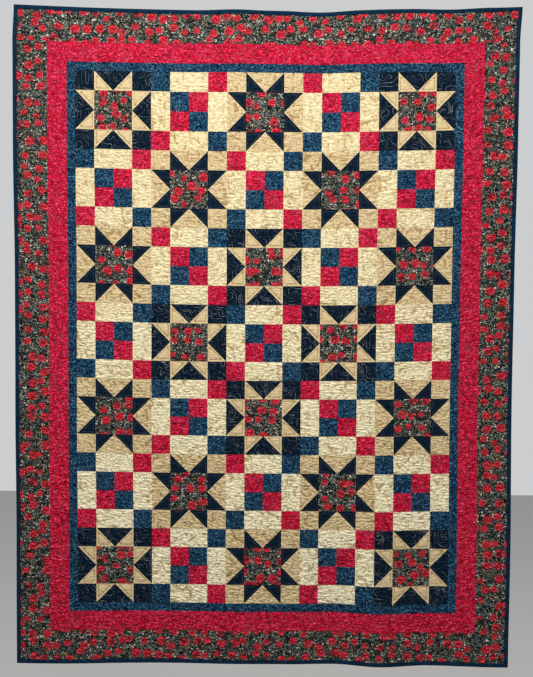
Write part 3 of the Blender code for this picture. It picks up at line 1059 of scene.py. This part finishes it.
def add_surround():
    """A plain surround, pale behind the quilt and dim in front of it so that its relief shows."""
    world = bpy.data.worlds.new("surround")
    bpy.context.scene.world = world
    world.use_nodes = True
    tree = world.node_tree
    direction = tree.nodes.new("ShaderNodeTexCoord")
    split = tree.nodes.new("ShaderNodeSeparateXYZ")
    tree.links.new(direction.outputs["Generated"], split.inputs[0])
    strengths = []
    for axis, low, high, start, end in (
        ("Z", 0.15, 0.45, FRONT_AMBIENT, HIGH_AMBIENT),
        ("Y", -0.1, 0.5, 0.0, BACK_AMBIENT),
    ):
        rise = tree.nodes.new("ShaderNodeMapRange")
        rise.interpolation_type = "SMOOTHSTEP"
        for socket, number in zip(rise.inputs[1:5], (low, high, start, end)):
            socket.default_value = number
        tree.links.new(split.outputs[axis], rise.inputs[0])
        strengths.append(rise.outputs[0])
    brighter = tree.nodes.new("ShaderNodeMath")
    brighter.operation = "MAXIMUM"
    for strength, socket in zip(strengths, brighter.inputs):
        tree.links.new(strength, socket)
    background = tree.nodes["Background"]
    background.inputs["Color"].default_value = SURROUND_COLOUR
    tree.links.new(brighter.outputs[0], background.inputs["Strength"])


def add_floor():
    """A plain grey floor, well below the quilt."""
    mesh = bpy.data.meshes.new("floor")
    half, down = FLOOR_HALF, -FLOOR_DROP
    corners = [(-half, -half, down), (half, -half, down), (half, half, down), (-half, half, down)]
    mesh.from_pydata(corners, [], [(0, 1, 2, 3)])
    paint = bpy.data.materials.new("floor_paint")
    paint.use_nodes = True
    shader = paint.node_tree.nodes["Principled BSDF"]
    shader.inputs["Base Color"].default_value = (FLOOR_GREY, FLOOR_GREY, FLOOR_GREY, 1)
    shader.inputs["Roughness"].default_value = 0.9
    mesh.materials.append(paint)
    floor = add_object("floor", mesh)


def add_studio():
    """A plain floor and surround, a high sun, and a soft lamp on each side of the quilt."""
    bpy.context.scene.view_settings.view_transform = "Standard"
    add_surround()
    add_floor()
    sun = bpy.data.lights.new("key", "SUN")
    sun.energy = KEY_STRENGTH
    sun.angle = math.radians(KEY_SOFTNESS)
    sun.color = KEY_COLOUR
    key = add_object("key", sun)
    key.rotation_euler = (math.radians(90 - KEY_HEIGHT), 0, math.radians(KEY_SIDE))
    for lamp in LAMPS:
        add_lamp(lamp)


def main():
    """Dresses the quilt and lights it."""
    rng = np.random.default_rng(SEED)
    add_camera()
    free_line = curl_up(catmull_rom(wandering_line(rng), LINE_STEPS), rng)
    triangles = echo_triangles()
    dense, _ = quilting(MAP_STEP / 2, free_line, triangles)
    proud = height_map(dense, rng)

    down, across = np.meshgrid(DOWN_LINES, ACROSS_LINES, indexing="ij")
    heights = sampled(proud, down / MAP_STEP, (across + WIDTH / 2) / MAP_STEP)
    across, down = across.ravel(), down.ravel()
    face = Sheet(
        points=hang(across, down, -heights.ravel()),
        flat=np.stack([across, down], axis=1),
        proud=heights.ravel(),
        normals=face_normals(across, down, proud),
    )

    materials = {
        CREAM: cream_cotton(),
        TAN: tan_cotton(),
        NAVY: navy_cotton("midnight_cotton", linear(0, 14, 31), linear(10, 44, 68)),
        BLUE: blue_cotton(),
        CRIMSON: crimson_cotton(),
        ROSE: rose_print(),
    }
    dress_centre(face, materials)
    dress_borders(face, materials)
    dress_binding(rng, navy_cotton("binding_cotton", linear(0, 28, 50), linear(8, 58, 90)))
    back = dress_back(proud, backing_cotton())

    points, ways = quilting(STITCH_PITCH, free_line, triangles)
    flat = stitch_corners(points, ways, STITCH_LENGTH)
    depth = -height_on(DOWN_LINES, ACROSS_LINES, heights, flat[:, 1], flat[:, 0]) - STITCH_LIFT
    threads = [thread_material(*thread) for thread in THREADS]
    lay_stitches("quilting_stitches", flat, depth, threads, thread_on(points))
    points, ways = quilting(BACK_STITCH_PITCH, free_line, triangles)
    flat = stitch_corners(points, -ways, BACK_STITCH_LENGTH)[::-1]
    depth = height_on(*back, flat[:, 1], flat[:, 0]) + STITCH_LIFT
    lay_stitches("back_stitches", flat, depth, [thread_material(*BACK_THREAD_AND_DIMPLE_SHADE)], np.zeros(len(points)))
    add_studio()


main()
